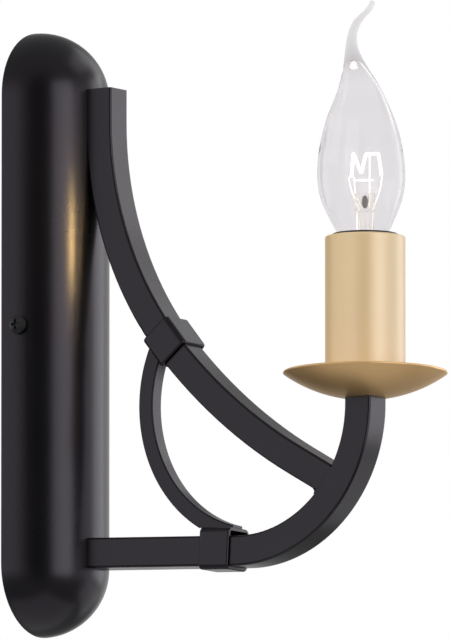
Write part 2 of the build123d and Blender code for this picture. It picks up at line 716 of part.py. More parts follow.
tongue_length = socket_offset + contact_radius
with BuildPart() as centre_contact:
    with BuildSketch(level_plane(bulb_base - running_gap - contact_sheet)):
        with Locations((contact_radius, 0)):
            Rectangle(tongue_length - contact_sheet, contact_width, align=(Align.MAX, Align.CENTER))
    extrude(amount=contact_sheet)
    with BuildSketch(level_plane(bulb_base - running_gap)):
        with Locations((-socket_offset, 0)):
            Rectangle(contact_sheet, contact_width)
    extrude(amount=socket_top - contact_sheet - bulb_base + running_gap)
    with BuildSketch(level_plane(bulb_base - running_gap - contact_sheet)):
        with Locations((-socket_offset, 0)):
            Rectangle(3 * contact_sheet, contact_width, align=(Align.MIN, Align.CENTER))
    extrude(amount=contact_sheet)
    with BuildSketch(level_plane(socket_top)):
        with Locations((-socket_offset, 0)):
            Circle(socket_radius)
            Circle(wire_radius + seat_gap, mode=Mode.SUBTRACT)
    extrude(amount=-socket_length)


# Wires: out of the terminal block, along the tube and up into the lampholder's sockets
def wire(hand):
    wire_end = socket_top - 2 * contact_sheet
    splay = socket_top - socket_length - wire_splay_radius
    with BuildPart() as core:
        with BuildLine() as route:
            FilletPolyline(at(hand * pole_pitch, clamp_height, block_foot + wire_in_clamp),
                           at(hand * pole_pitch, clamp_height, block_foot - wire_below_block),
                           at(hand * wire_spacing / 2, wire_bend_reach, droop_height(wire_bend_reach)),
                           at(hand * wire_spacing / 2, candle_reach, droop_height(candle_reach)),
                           at(hand * wire_spacing / 2, candle_reach, nut_seat + nut_height + nipple_past_nut),
                           at(hand * socket_offset, candle_reach, splay),
                           at(hand * socket_offset, candle_reach, wire_end),
                           radius=[wire_bend_radius, wire_bend_radius, lower_bend_radius,
                                   wire_splay_radius, wire_splay_radius])
        with BuildSketch(Plane(origin=route.wire() @ 0, z_dir=route.wire() % 0)):
            Circle(wire_radius)
        sweep(path=route.wire())
    return core


live_wire = wire(-1)
neutral_wire = wire(1)

# Bulb base: contact and insulator
with BuildPart() as bulb_contact:
    with BuildSketch(level_plane(bulb_base)):
        Circle(contact_radius)
    extrude(amount=insulator_bottom)
    fillet(bulb_contact.edges().group_by(Axis.Z)[0], insulator_bottom / 2)

with BuildPart() as bulb_insulator:
    with BuildSketch(candle_side):
        with BuildLine():
            Polyline((0, bulb_base + insulator_bottom), (insulator_tip, bulb_base + insulator_bottom),
                     (cap_radius - running_gap, bulb_base + cap_bottom - running_gap),
                     (0, bulb_base + cap_bottom - running_gap), close=True)
        make_face()
    revolve(axis=candle_axis)

# Bulb cap: a shell with a round screw thread, flared to hold the glass
cap_inner = cap_radius - cap_wall
with BuildPart() as bulb_cap:
    with BuildLine() as ridge_path:
        Helix(pitch=thread_pitch, height=thread_turns * thread_pitch, radius=thread_circle,
              center=(0, -candle_reach, bulb_base + thread_start))
    with BuildSketch(Plane(origin=ridge_path.wire() @ 0, z_dir=ridge_path.wire() % 0)):
        Circle(thread_ridge)
    sweep(path=ridge_path.wire(), is_frenet=True)
    with BuildSketch(candle_side):
        with BuildLine():
            Polyline((cap_inner, bulb_base + cap_bottom), (cap_radius, bulb_base + cap_bottom),
                     (cap_radius, bulb_base + cap_thread_top),
                     (skirt_radius, bulb_base + cap_thread_top + skirt_radius - cap_radius),
                     (skirt_radius, bulb_base + cap_top), (skirt_radius - skirt_wall, bulb_base + cap_top),
                     (skirt_radius - skirt_wall, bulb_base + cap_thread_top + skirt_radius - cap_radius),
                     (cap_inner, bulb_base + cap_thread_top), close=True)
        make_face()
    revolve(axis=candle_axis)
    with BuildSketch(level_plane(bulb_base + cap_bottom)):
        Circle(cap_inner)
    extrude(amount=cap_top - cap_bottom, mode=Mode.SUBTRACT)


def glass_plane(height, lean, slope=0):
    up = tail_x * sin(radians(slope)) + Vector(0, 0, cos(radians(slope)))
    return Plane(origin=bulb_side.origin + tail_x * lean + Vector(0, 0, height), z_dir=up)


with BuildPart() as bulb_glass:
    for height, radius, lean in glass_stations:
        with BuildSketch(glass_plane(height, lean)):
            Circle(radius)
    with BuildSketch(glass_plane(glass_tip[0], glass_tip[2], glass_tip_slope)):
        Circle(glass_tip[1])
    loft()
    with Locations(glass_plane(glass_tip[0], glass_tip[2], glass_tip_slope)):
        Sphere(glass_bead_radius)
    for height, radius, lean in glass_stations[:glass_hollow_stations]:
        with BuildSketch(glass_plane(height, lean)):
            Circle(radius - glass_wall)
    for height, radius, lean in hollow_end_stations:
        with BuildSketch(glass_plane(height, lean)):
            Circle(radius)
    loft(mode=Mode.SUBTRACT)

# Stem inside the bulb, with the wires that hold the filament pressed into its top
flare_radius = glass_stations[0][1] - glass_wall + glass_stations[0][2] - running_gap
with BuildPart() as bulb_stem:
    with BuildSketch(bulb_side):
        with BuildLine():
            Polyline((0, stem_bottom), (flare_radius, stem_bottom), (stem_radius, stem_flare_top),
                     (stem_radius, stem_top), (0, stem_top), close=True)
        make_face()
    revolve(axis=candle_axis)
    press_plane = Plane(origin=bulb_side.origin + Vector(0, 0, stem_top), x_dir=tail_x, z_dir=(0, 0, 1))
    with BuildSketch(press_plane):
        RectangleRounded(press_width, press_depth, press_depth / 3)
    extrude(amount=press_top - stem_top)
    for bends in lead_bends:
        with BuildLine(bulb_side) as lead_way:
            FilletPolyline(*bends, radius=2)
        with BuildSketch(Plane(origin=lead_way.wire() @ 0, z_dir=lead_way.wire() % 0)):
            Circle(lead_radius + seat_gap)
        sweep(path=lead_way.wire(), mode=Mode.SUBTRACT)

with BuildPart() as bulb_leads:
    for bends in lead_bends:
        with BuildLine(bulb_side) as lead_path:
            FilletPolyline(*bends, radius=2)
        with BuildSketch(Plane(origin=lead_path.wire() @ 0, z_dir=lead_path.wire() % 0)):
            Circle(lead_radius)
        sweep(path=lead_path.wire())

with BuildPart() as bulb_filament:
    with BuildLine(bulb_side) as filament_path:
        FilletPolyline(*filament_bends, radius=2 * filament_radius)
    with BuildSketch(Plane(origin=filament_path.wire() @ 0, z_dir=filament_path.wire() % 0)):
        Circle(filament_radius)
    sweep(path=filament_path.wire())

pieces = {
    "wall_plate": wall_plate, "wall_bracket": wall_bracket, "side_screws": side_screws,
    "cable_grommet": cable_grommet, "earth_screw": earth_screw, "earth_washer": earth_washer,
    "terminal_block": terminal_block, "terminal_clamps": terminal_clamps,
    "terminal_screws": terminal_screws, "block_screw": block_screw,
    "upper_arm": upper_arm, "upper_arm_screw": upper_arm_screw, "upper_arm_washer": upper_arm_washer,
    "lower_arm": lower_arm, "wall_end_plug": wall_end_plug, "wall_nipple": wall_nipple,
    "wall_washer": wall_washer, "wall_nut": wall_nut, "ring_brace": ring_brace,
    "upper_collar": upper_collar, "lower_collar": lower_collar, "candle_end_plug": candle_end_plug,
    "candle_nipple": candle_nipple, "holder_nut": holder_nut, "dish": dish,
    "candle_sleeve": candle_sleeve, "holder_foot": holder_foot, "holder_body": holder_body,
    "screw_shell": screw_shell, "centre_contact": centre_contact, "live_wire": live_wire,
    "neutral_wire": neutral_wire, "bulb_contact": bulb_contact, "bulb_insulator": bulb_insulator,
    "bulb_cap": bulb_cap, "bulb_glass": bulb_glass, "bulb_stem": bulb_stem, "bulb_leads": bulb_leads,
    "bulb_filament": bulb_filament,
}
for name, piece in pieces.items():
    piece.part.label = name
    export_step(piece.part, f"parts/{name}.step")
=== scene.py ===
import math

import bpy
from mathutils import Matrix, Vector


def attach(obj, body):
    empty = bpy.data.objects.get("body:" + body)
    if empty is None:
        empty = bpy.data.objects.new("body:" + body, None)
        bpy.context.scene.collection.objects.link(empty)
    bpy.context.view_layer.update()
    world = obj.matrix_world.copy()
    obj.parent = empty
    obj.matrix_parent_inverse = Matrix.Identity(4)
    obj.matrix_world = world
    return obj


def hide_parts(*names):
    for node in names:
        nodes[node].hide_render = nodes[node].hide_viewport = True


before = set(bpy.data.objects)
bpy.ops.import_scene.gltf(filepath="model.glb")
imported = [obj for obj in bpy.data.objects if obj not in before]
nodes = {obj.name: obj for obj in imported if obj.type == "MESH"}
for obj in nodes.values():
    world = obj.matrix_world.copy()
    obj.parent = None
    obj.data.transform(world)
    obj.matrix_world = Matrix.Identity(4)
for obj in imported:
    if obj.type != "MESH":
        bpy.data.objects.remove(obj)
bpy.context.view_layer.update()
scene = bpy.context.scene
scene.view_settings.view_transform = "Standard"
perMetre = 1000                  # millimetres
print("stage: frame loaded,", len(nodes), "nodes")


# Camera: seen from the left and a little below, from far away so that upright lines stay upright
photoView = {
    "turn": 34.5,                # degrees round from the side of the arms
    "look": 7.5,                 # degrees that it looks up
    "distance": 8.3,
    "aimAcross": 0.07289,        # the picture's centre, from the middle of the plate on the wall
    "aimUp": 0.00611,
    "aimNear": 0.044,            # towards the camera, half way from the plate to the candle
    "pixelsPerMetre": 2540.0,
    "pictureHeight": 640,
    "sensor": 36.0,
    "seesTo": 100.0,
}
turn = math.radians(photoView["turn"])
look = math.radians(photoView["look"])
viewRight = Vector((math.sin(turn), -math.cos(turn), 0))
viewUp = Vector((-math.cos(turn) * math.sin(look), -math.sin(turn) * math.sin(look), math.cos(look)))
viewBack = viewRight.cross(viewUp)


def makeCamera(v):
    cameraData = bpy.data.cameras.new("photoCamera")
    cameraData.sensor_width = v["sensor"]
    cameraData.lens = v["pixelsPerMetre"] * v["distance"] * v["sensor"] / v["pictureHeight"]
    cameraData.clip_end = v["seesTo"]
    camera = bpy.data.objects.new("photoCamera", cameraData)
    scene.collection.objects.link(camera)
    turned = Matrix((viewRight, viewUp, viewBack)).transposed().to_4x4()
    aim = viewRight * v["aimAcross"] + viewUp * v["aimUp"] + viewBack * v["aimNear"]
    camera.matrix_world = Matrix.Translation(aim + viewBack * v["distance"]) @ turned
    scene.camera = camera


makeCamera(photoView)
print("stage: camera")


# Small helpers for node trees
def feed(tree, socket, value):             # by a link from a socket, or as a plain value
    if isinstance(value, bpy.types.NodeSocket):
        tree.links.new(value, socket)
    else:
        socket.default_value = value


def addNode(tree, kind, values):
    node = tree.nodes.new(kind)
    for socketName, value in values.items():
        feed(tree, node.inputs[socketName], value)
    return node


def addMath(tree, operation, *values):
    node = tree.nodes.new("ShaderNodeMath")
    node.operation = operation
    for socket, value in zip(node.inputs, values):
        feed(tree, socket, value)
    return node.outputs[0]


def addMix(tree, share, first, second):    # of two shaders
    mix = tree.nodes.new("ShaderNodeMixShader")
    for socket, source in zip(mix.inputs, (share, first, second)):
        tree.links.new(source, socket)
    return mix.outputs[0]


def addFade(tree, source, fromMin, fromMax, toMin, toMax):
    fade = addNode(tree, "ShaderNodeMapRange", {"Value": source, "From Min": fromMin, "From Max": fromMax,
                                                "To Min": toMin, "To Max": toMax})
    fade.interpolation_type = "SMOOTHSTEP"
    return fade.outputs["Result"]


# Light: fills and a pale room light the colours, and the paint mirrors soft boxes and a room that is dark
# where the camera stands
studio = {
    "lightBelow": 0.22,          # how the room lights the colours, from below and from above
    "lightAbove": 0.72,
    "lightFrom": -0.25,          # the rise over which it brightens
    "lightTo": 0.35,
    "roomBright": 0.85,          # the room as it is mirrored
    "darkTowards": (-0.817, -0.5615, 0.13),
    "darkFrom": 0.72,            # how nearly that way, as a cosine
    "darkTo": 0.995,
    "darkest": 0.02,
    "highTo": 0.65,
    "highest": 0.30,             # what is left of the room's brightness overhead
    "lowTo": -0.40,
    "lowest": 0.25,              # and below
    "white": (1, 1, 1, 1),
    "floorHeight": -1.5,
    "floorSize": 2.0,
    "floorColour": (0.25, 0.25, 0.25, 1),
    "floorRoughness": 0.9,
    "floorMirrored": 0.56,
}
softBoxes = [                    # only mirrored
    {"name": "frontBox", "towards": (-0.32, -0.94, 0.11), "distance": 1.5, "size": (1.0, 1.4), "watts": 5.6},
    {"name": "rightBox", "towards": (0.88, -0.46, 0.16), "distance": 1.3, "size": (0.8, 0.95), "watts": 3.0},
    {"name": "upperRightBox", "towards": (0.80, -0.10, 0.59), "distance": 1.4, "size": (0.6, 0.7), "watts": 1.1},
    {"name": "highBox", "towards": (0.47, -0.43, 0.77), "distance": 1.5, "size": (0.9, 0.5), "watts": 0.9},
    {"name": "lowBox", "towards": (0.74, -0.44, -0.50), "distance": 1.4, "size": (1.3, 0.6), "watts": 1.4},
]
fills = [                        # never mirrored
    {"name": "leftFill", "towards": (-0.89, -0.157, 0.43), "distance": 1.4, "size": (0.9, 0.9), "watts": 9.6},
    {"name": "lowFill", "towards": (0.47, -0.87, -0.15), "distance": 1.4, "size": (0.8, 0.6), "watts": 4.6},
]
bulbGlow = {"name": "bulbGlow", "place": (-0.017, -0.134, 0.048), "size": (0.012, 0.034), "spread": 70,
            "watts": 0.0095, "colour": (1.0, 0.70, 0.22)}
objectMiddle = Vector((0, -0.085, 0))


def addBackground(tree, colour, strength=1.0):
    background = addNode(tree, "ShaderNodeBackground", {"Color": colour, "Strength": strength})
    return background.outputs[0]


def makeWorld(v):
    world = bpy.data.worlds.new("studioRoom")
    scene.world = world
    world.use_nodes = True
    tree = world.node_tree
    tree.nodes.clear()
    path = tree.nodes.new("ShaderNodeLightPath")
    place = tree.nodes.new("ShaderNodeTexCoord")
    facing = tree.nodes.new("ShaderNodeVectorMath")
    facing.operation = "DOT_PRODUCT"
    facing.inputs[1].default_value = Vector(v["darkTowards"]).normalized()
    tree.links.new(place.outputs["Generated"], facing.inputs[0])
    split = tree.nodes.new("ShaderNodeSeparateXYZ")
    tree.links.new(place.outputs["Generated"], split.inputs[0])
    rise = split.outputs["Z"]
    around = addFade(tree, facing.outputs["Value"], v["darkFrom"], v["darkTo"], v["roomBright"], v["darkest"])
    upwards = addFade(tree, rise, 0.0, v["highTo"], 1.0, v["highest"])
    downwards = addFade(tree, rise, v["lowTo"], 0.0, v["lowest"], 1.0)
    upDown = addMath(tree, "MULTIPLY", upwards, downwards)
    mirrored = addBackground(tree, v["white"], addMath(tree, "MULTIPLY", around, upDown))
    lighting = addFade(tree, rise, v["lightFrom"], v["lightTo"], v["lightBelow"], v["lightAbove"])
    plain = addBackground(tree, v["white"], lighting)
    white = addBackground(tree, v["white"])
    # what is seen straight or through the bulb is white, also where the bulb's wall mirrors it on the way
    through = addMath(tree, "MINIMUM", path.outputs["Transmission Depth"], 1.0)
    seen = addMath(tree, "MAXIMUM", path.outputs["Is Camera Ray"], through)
    room = addMix(tree, path.outputs["Is Glossy Ray"], plain, mirrored)
    addNode(tree, "ShaderNodeOutputWorld", {"Surface": addMix(tree, seen, room, white)})


def addLamp(v, shape):
    lamp = bpy.data.lights.new(v["name"], "AREA")
    lamp.shape = shape
    lamp.size, lamp.size_y = v["size"]
    lamp.energy = v["watts"]
    lampObject = bpy.data.objects.new(v["name"], lamp)
    scene.collection.objects.link(lampObject)
    return lampObject


def makeSoftBox(v):
    box = addLamp(v, "RECTANGLE")
    towards = Vector(v["towards"]).normalized()
    box.location = objectMiddle + towards * v["distance"]
    box.rotation_mode = "QUATERNION"
    box.rotation_quaternion = towards.to_track_quat("Z", "Y")
    return box


def makeBulbGlow(v):                       # the lit bulb's own warm light on the plate
    glow = addLamp(v, "ELLIPSE")
    glow.data.spread = math.radians(v["spread"])
    glow.data.color = v["colour"]
    glow.location = v["place"]
    glow.rotation_euler = (math.pi / 2, 0, 0)          # it shines towards the wall
    glow.visible_camera = False
    glow.visible_transmission = False


def makeFloor(v):                          # white to the eye, grey in a mirror
    bpy.ops.object.select_all(action="DESELECT")
    bpy.ops.mesh.primitive_plane_add(size=v["floorSize"], location=(0, objectMiddle.y, v["floorHeight"]))
    floor = bpy.context.object
    floor.name = "floor"
    paint = bpy.data.materials.new("paleFloor")
    paint.use_nodes = True
    tree = paint.node_tree
    matt = tree.nodes["Principled BSDF"]
    matt.inputs["Base Color"].default_value = v["floorColour"]
    matt.inputs["Roughness"].default_value = v["floorRoughness"]
    path = tree.nodes.new("ShaderNodeLightPath")
    inMirror = path.outputs["Is Glossy Ray"]
    strength = addMath(tree, "MULTIPLY_ADD", inMirror, v["floorMirrored"] - 1.0, 1.0)
    white = addNode(tree, "ShaderNodeEmission", {"Strength": strength})
    seen = addMath(tree, "MAXIMUM", path.outputs["Is Camera Ray"], path.outputs["Is Transmission Ray"])
    either = addMath(tree, "MAXIMUM", seen, inMirror)
    tree.links.new(addMix(tree, either, matt.outputs[0], white.outputs[0]),
                   tree.nodes["Material Output"].inputs["Surface"])
    floor.data.materials.append(paint)


makeWorld(studio)
for softBox in softBoxes:
    makeSoftBox(softBox).visible_diffuse = False
for fill in fills:
    makeSoftBox(fill).visible_glossy = False
makeBulbGlow(bulbGlow)
makeFloor(studio)
print("stage: light and floor")


# Node groups that several finishes share
grainNoise = {"peelDetail": 2.5, "peelRoughness": 0.55, "cloudScale": 45.0, "cloudDetail": 4.0}
driftNoise = {"detail": 5.0}
markNoise = {"scale": 1.0, "detail": 3.0}
noiseMiddle = 0.5


def startGroup(name, inputs, outputs):
    group = bpy.data.node_groups.new(name, "ShaderNodeTree")
    for socketName, kind, value in inputs:
        socket = group.interface.new_socket(socketName, in_out="INPUT", socket_type=kind)
        socket.default_value = value
    for socketName, kind in outputs:
        group.interface.new_socket(socketName, in_out="OUTPUT", socket_type=kind)
    entry = group.nodes.new("NodeGroupInput")
    leave = group.nodes.new("NodeGroupOutput")
    place = group.nodes.new("ShaderNodeTexCoord")
    return group, entry, leave, place.outputs["Object"]


def spreadRoughness(group, entry, leave, noise):       # rougher and smoother round the middle
    centred = addMath(group, "SUBTRACT", noise, noiseMiddle)
    rough = addMath(group, "MULTIPLY_ADD", centred, entry.outputs["Spread"], entry.outputs["Roughness"])
    group.links.new(rough, leave.inputs["Roughness"])


def makePaintGrain(v):                     # the fine orange peel of a sprayed or moulded skin
    group, entry, leave, place = startGroup(
        "paintGrain",
        [("Peel Scale", "NodeSocketFloat", 900.0), ("Roughness", "NodeSocketFloat", 0.4),
         ("Spread", "NodeSocketFloat", 0.1)],
        [("Roughness", "NodeSocketFloat"), ("Height", "NodeSocketFloat")])
    peel = addNode(group, "ShaderNodeTexNoise", {
        "Vector": place, "Scale": entry.outputs["Peel Scale"], "Detail": v["peelDetail"],
        "Roughness": v["peelRoughness"]})
    clouds = addNode(group, "ShaderNodeTexNoise", {
        "Vector": place, "Scale": v["cloudScale"], "Detail": v["cloudDetail"]})
    spreadRoughness(group, entry, leave, clouds.outputs["Fac"])
    group.links.new(peel.outputs["Fac"], leave.inputs["Height"])
    return group


def makeColourDrift(v):                    # slow, slight changes of shade over a surface
    group, entry, leave, place = startGroup(
        "colourDrift",
        [("Colour", "NodeSocketColor", (0.5, 0.5, 0.5, 1)),
         ("Other Colour", "NodeSocketColor", (0.4, 0.4, 0.4, 1)), ("Scale", "NodeSocketFloat", 60.0)],
        [("Colour", "NodeSocketColor")])
    noise = addNode(group, "ShaderNodeTexNoise", {
        "Vector": place, "Scale": entry.outputs["Scale"], "Detail": v["detail"]})
    mix = group.nodes.new("ShaderNodeMix")
    mix.data_type = "RGBA"
    group.links.new(noise.outputs["Fac"], mix.inputs["Factor"])
    group.links.new(entry.outputs["Colour"], mix.inputs["A"])
    group.links.new(entry.outputs["Other Colour"], mix.inputs["B"])
    group.links.new(mix.outputs["Result"], leave.inputs["Colour"])
    return group


def makeToolMarks(v):                      # fine lines left by a lathe, a die or a roller
    group, entry, leave, place = startGroup(
        "toolMarks",
        [("Along", "NodeSocketVector", (1.0, 1.0, 1.0)), ("Roughness", "NodeSocketFloat", 0.3),
         ("Spread", "NodeSocketFloat", 0.2)],
        [("Roughness", "NodeSocketFloat"), ("Height", "NodeSocketFloat")])
    stretch = group.nodes.new("ShaderNodeVectorMath")
    stretch.operation = "MULTIPLY"
    group.links.new(place, stretch.inputs[0])
    group.links.new(entry.outputs["Along"], stretch.inputs[1])
    lines = addNode(group, "ShaderNodeTexNoise", {
        "Vector": stretch.outputs["Vector"], "Scale": v["scale"], "Detail": v["detail"]})
    spreadRoughness(group, entry, leave, lines.outputs["Fac"])
    group.links.new(lines.outputs["Fac"], leave.inputs["Height"])
    return group


paintGrain = makePaintGrain(grainNoise)
colourDrift = makeColourDrift(driftNoise)
toolMarks = makeToolMarks(markNoise)
print("stage: node groups")


# Finishes, each with the solids that it is on
paints = {
    "blackSatin": {
        "on": "wall_plate upper_arm lower_arm ring_brace upper_collar lower_collar",
        "colour": (0.0032, 0.0029, 0.0033, 1), "otherColour": (0.0022, 0.0020, 0.0023, 1), "driftScale": 30.0,
        "roughness": 0.265, "spread": 0.08, "metallic": 0.0, "ior": 1.54, "mirrorTint": (0.94, 0.86, 1.0, 1),
        "peelScale": 1400.0, "peelStrength": 0.18, "peelDepth": 0.0001},
    "blackOxide": {
        "on": "side_screws",
        "colour": (0.03, 0.03, 0.031, 1), "otherColour": (0.018, 0.018, 0.019, 1), "driftScale": 400.0,
        "roughness": 0.42, "spread": 0.15, "metallic": 0.5, "ior": 1.5,
        "peelScale": 3000.0, "peelStrength": 0.2, "peelDepth": 0.00005},
    # the sleeve's gold paint; the dish carries a shaded copy of it below
    "champagneGold": {
        "on": "candle_sleeve",
        "colour": (0.80, 0.54, 0.22, 1), "otherColour": (0.77, 0.515, 0.205, 1), "driftScale": 90.0,
        "roughness": 0.42, "spread": 0.06, "metallic": 0.0, "ior": 3.2,
        "peelScale": 4200.0, "peelStrength": 0.12, "peelDepth": 0.00005},
    # the same gold paint as the sleeve, copied as painted shade: mostly gold-tinted reflection and little white, so
    # that it looks browner in the shade under the dish
    "shadedDishGold": {
        "on": "dish",
        "colour": (0.97, 0.625, 0.285, 1), "otherColour": (0.93, 0.595, 0.27, 1), "driftScale": 90.0,
        "roughness": 0.40, "spread": 0.06, "metallic": 0.65, "ior": 1.6,
        "peelScale": 4200.0, "peelStrength": 0.12, "peelDepth": 0.00005},
    "holderPlastic": {
        "on": "holder_body holder_foot",
        "colour": (0.016, 0.015, 0.015, 1), "otherColour": (0.011, 0.010, 0.010, 1), "driftScale": 120.0,
        "roughness": 0.48, "spread": 0.1, "metallic": 0.0, "ior": 1.5,
        "peelScale": 2600.0, "peelStrength": 0.25, "peelDepth": 0.00008},
    "blockPlastic": {
        "on": "terminal_block",
        "colour": (0.80, 0.79, 0.74, 1), "otherColour": (0.74, 0.73, 0.68, 1), "driftScale": 160.0,
        "roughness": 0.45, "spread": 0.12, "metallic": 0.0, "ior": 1.5,
        "peelScale": 2200.0, "peelStrength": 0.2, "peelDepth": 0.00006},
    "grommetRubber": {
        "on": "cable_grommet",
        "colour": (0.026, 0.025, 0.024, 1), "otherColour": (0.040, 0.039, 0.037, 1), "driftScale": 300.0,
        "roughness": 0.7, "spread": 0.15, "metallic": 0.0, "ior": 1.5,
        "peelScale": 1800.0, "peelStrength": 0.35, "peelDepth": 0.0001},
    "brownSleeving": {
        "on": "live_wire",
        "colour": (0.13, 0.052, 0.025, 1), "otherColour": (0.105, 0.042, 0.02, 1), "driftScale": 200.0,
        "roughness": 0.32, "spread": 0.1, "metallic": 0.0, "ior": 1.5,
        "peelScale": 3500.0, "peelStrength": 0.1, "peelDepth": 0.00004},
    "blueSleeving": {
        "on": "neutral_wire",
        "colour": (0.03, 0.10, 0.36, 1), "otherColour": (0.024, 0.085, 0.31, 1), "driftScale": 200.0,
        "roughness": 0.32, "spread": 0.1, "metallic": 0.0, "ior": 1.5,
        "peelScale": 3500.0, "peelStrength": 0.1, "peelDepth": 0.00004},
    "vitrite": {
        "on": "bulb_insulator",
        "colour": (0.012, 0.011, 0.014, 1), "otherColour": (0.022, 0.018, 0.026, 1), "driftScale": 500.0,
        "roughness": 0.16, "spread": 0.1, "metallic": 0.0, "ior": 1.6,
        "peelScale": 1500.0, "peelStrength": 0.15, "peelDepth": 0.00008},
    # the lead wires get a faint glow: painted light, standing for the lit filament's light falling on them
    "leadWirePaintedGlow": {
        "on": "bulb_leads", "glow": 0.6,
        "colour": (0.88, 0.84, 0.76, 1), "otherColour": (0.78, 0.73, 0.64, 1), "driftScale": 900.0,
        "roughness": 0.38, "spread": 0.15, "metallic": 0.3, "ior": 1.5,
        "peelScale": 5000.0, "peelStrength": 0.1, "peelDepth": 0.00002},
    # dark grey for the sealed end of the exhaust tube: painted darkness, for what the stem's glass refracts there
    "paintedDarkBead": {
        "on": "",
        "colour": (0.10, 0.093, 0.085, 1), "otherColour": (0.16, 0.15, 0.14, 1), "driftScale": 1200.0,
        "roughness": 0.25, "spread": 0.1, "metallic": 0.0, "ior": 1.5,
        "peelScale": 3000.0, "peelStrength": 0.1, "peelDepth": 0.00002},
}
metals = {
    "zincPlate": {
        "on": "wall_bracket earth_screw earth_washer block_screw upper_arm_screw upper_arm_washer wall_end_plug "
              "candle_end_plug wall_washer wall_nut terminal_screws holder_nut",
        "colour": (0.56, 0.56, 0.54, 1), "otherColour": (0.62, 0.60, 0.53, 1), "driftScale": 220.0,
        "roughness": 0.34, "spread": 0.22,
        "along": (4000.0, 4000.0, 250.0), "markStrength": 0.15, "markDepth": 0.00004},
    "turnedBrass": {
        "on": "terminal_clamps wall_nipple candle_nipple screw_shell centre_contact bulb_contact",
        "colour": (0.76, 0.53, 0.22, 1), "otherColour": (0.68, 0.46, 0.18, 1), "driftScale": 300.0,
        "roughness": 0.28, "spread": 0.2,
        "along": (300.0, 300.0, 6000.0), "markStrength": 0.15, "markDepth": 0.00003},
    "rolledNickel": {
        "on": "bulb_cap",
        "colour": (0.66, 0.64, 0.60, 1), "otherColour": (0.60, 0.58, 0.54, 1), "driftScale": 260.0,
        "roughness": 0.26, "spread": 0.15,
        "along": (200.0, 200.0, 3500.0), "markStrength": 0.1, "markDepth": 0.00003},
}
glasses = {
    "clearGlass": {
        "on": "bulb_glass",
        "colour": (0.907, 0.894, 0.906, 1), "roughness": 0.0, "ior": 1.2, "clearness": 1.0,
        "greyColour": (0.50, 0.48, 0.505, 1), "greyness": 120.0},
    "stemGlass": {
        "on": "bulb_stem",
        "colour": (0.98, 0.965, 0.93, 1), "roughness": 0.02, "ior": 1.35, "clearness": 0.93},
    # glass with a faint glow: painted light, making the glass rod and the drop look bright as the lit filament
    # makes them
    "glassPaintedGlow": {
        "on": "", "glow": 0.2,
        "colour": (1.0, 0.975, 0.94, 1), "roughness": 0.05, "ior": 1.3, "clearness": 0.6},
}
glowing = {
    "hotTungsten": {
        "on": "bulb_filament",
        "colour": (0.5, 0.45, 0.4, 1), "roughness": 0.4, "glowColour": (1.0, 0.90, 0.74, 1), "glow": 3.6},
}


def startFinish(name):
    material = bpy.data.materials.new(name)
    material.use_nodes = True
    return material, material.node_tree, material.node_tree.nodes["Principled BSDF"]


def addGroup(tree, group, values):
    node = tree.nodes.new("ShaderNodeGroup")
    node.node_tree = group
    for socketName, value in values.items():
        node.inputs[socketName].default_value = value
    return node


def addDrift(tree, shader, v):
    drift = addGroup(tree, colourDrift, {"Colour": v["colour"], "Other Colour": v["otherColour"],
                                         "Scale": v["driftScale"]})
    tree.links.new(drift.outputs["Colour"], shader.inputs["Base Color"])


def addBump(tree, shader, height, strength, distance):
    bump = addNode(tree, "ShaderNodeBump", {"Strength": strength, "Distance": distance, "Height": height})
    tree.links.new(bump.outputs["Normal"], shader.inputs["Normal"])


def paintedFinish(name, v):
    material, tree, shader = startFinish(name)
    addDrift(tree, shader, v)
    grain = addGroup(tree, paintGrain, {"Peel Scale": v["peelScale"], "Roughness": v["roughness"],
                                        "Spread": v["spread"]})
    tree.links.new(grain.outputs["Roughness"], shader.inputs["Roughness"])
    shader.inputs["Metallic"].default_value = v["metallic"]
    shader.inputs["IOR"].default_value = v["ior"]
    shader.inputs["Specular Tint"].default_value = v.get("mirrorTint", (1, 1, 1, 1))
    shader.inputs["Emission Color"].default_value = v["colour"]
    shader.inputs["Emission Strength"].default_value = v.get("glow", 0.0)
    addBump(tree, shader, grain.outputs["Height"], v["peelStrength"], v["peelDepth"])
    return material


def metalFinish(name, v):
    material, tree, shader = startFinish(name)
    addDrift(tree, shader, v)
    marks = addGroup(tree, toolMarks, {"Along": v["along"], "Roughness": v["roughness"], "Spread": v["spread"]})
    tree.links.new(marks.outputs["Roughness"], shader.inputs["Roughness"])
    shader.inputs["Metallic"].default_value = 1.0
    addBump(tree, shader, marks.outputs["Height"], v["markStrength"], v["markDepth"])
    return material


def glassFinish(name, v):
    material, tree, shader = startFinish(name)
    shader.inputs["Base Color"].default_value = v["colour"]
    shader.inputs["Roughness"].default_value = v["roughness"]
    shader.inputs["IOR"].default_value = v["ior"]
    shader.inputs["Transmission Weight"].default_value = v["clearness"]
    shader.inputs["Emission Color"].default_value = v["colour"]
    shader.inputs["Emission Strength"].default_value = v.get("glow", 0.0)
    if "greyness" in v:                    # the deeper the glass, the greyer
        inside = addNode(tree, "ShaderNodeVolumeAbsorption", {"Color": v["greyColour"], "Density": v["greyness"]})
        tree.links.new(inside.outputs[0], tree.nodes["Material Output"].inputs["Volume"])
    return material


def glowFinish(name, v):
    material, tree, shader = startFinish(name)
    shader.inputs["Base Color"].default_value = v["colour"]
    shader.inputs["Metallic"].default_value = 1.0
    shader.inputs["Roughness"].default_value = v["roughness"]
    shader.inputs["Emission Color"].default_value = v["glowColour"]
    shader.inputs["Emission Strength"].default_value = v["glow"]
    return material


finishes = {}
for makeFinish, looks in ((paintedFinish, paints), (metalFinish, metals), (glassFinish, glasses),
                          (glowFinish, glowing)):
    for finishName, finishLook in looks.items():
        finishes[finishName] = makeFinish(finishName, finishLook)
        for nodeName in finishLook["on"].split():
            for materialSlot in nodes[nodeName].material_slots:
                materialSlot.material = finishes[finishName]
print("stage: finishes on the solids")


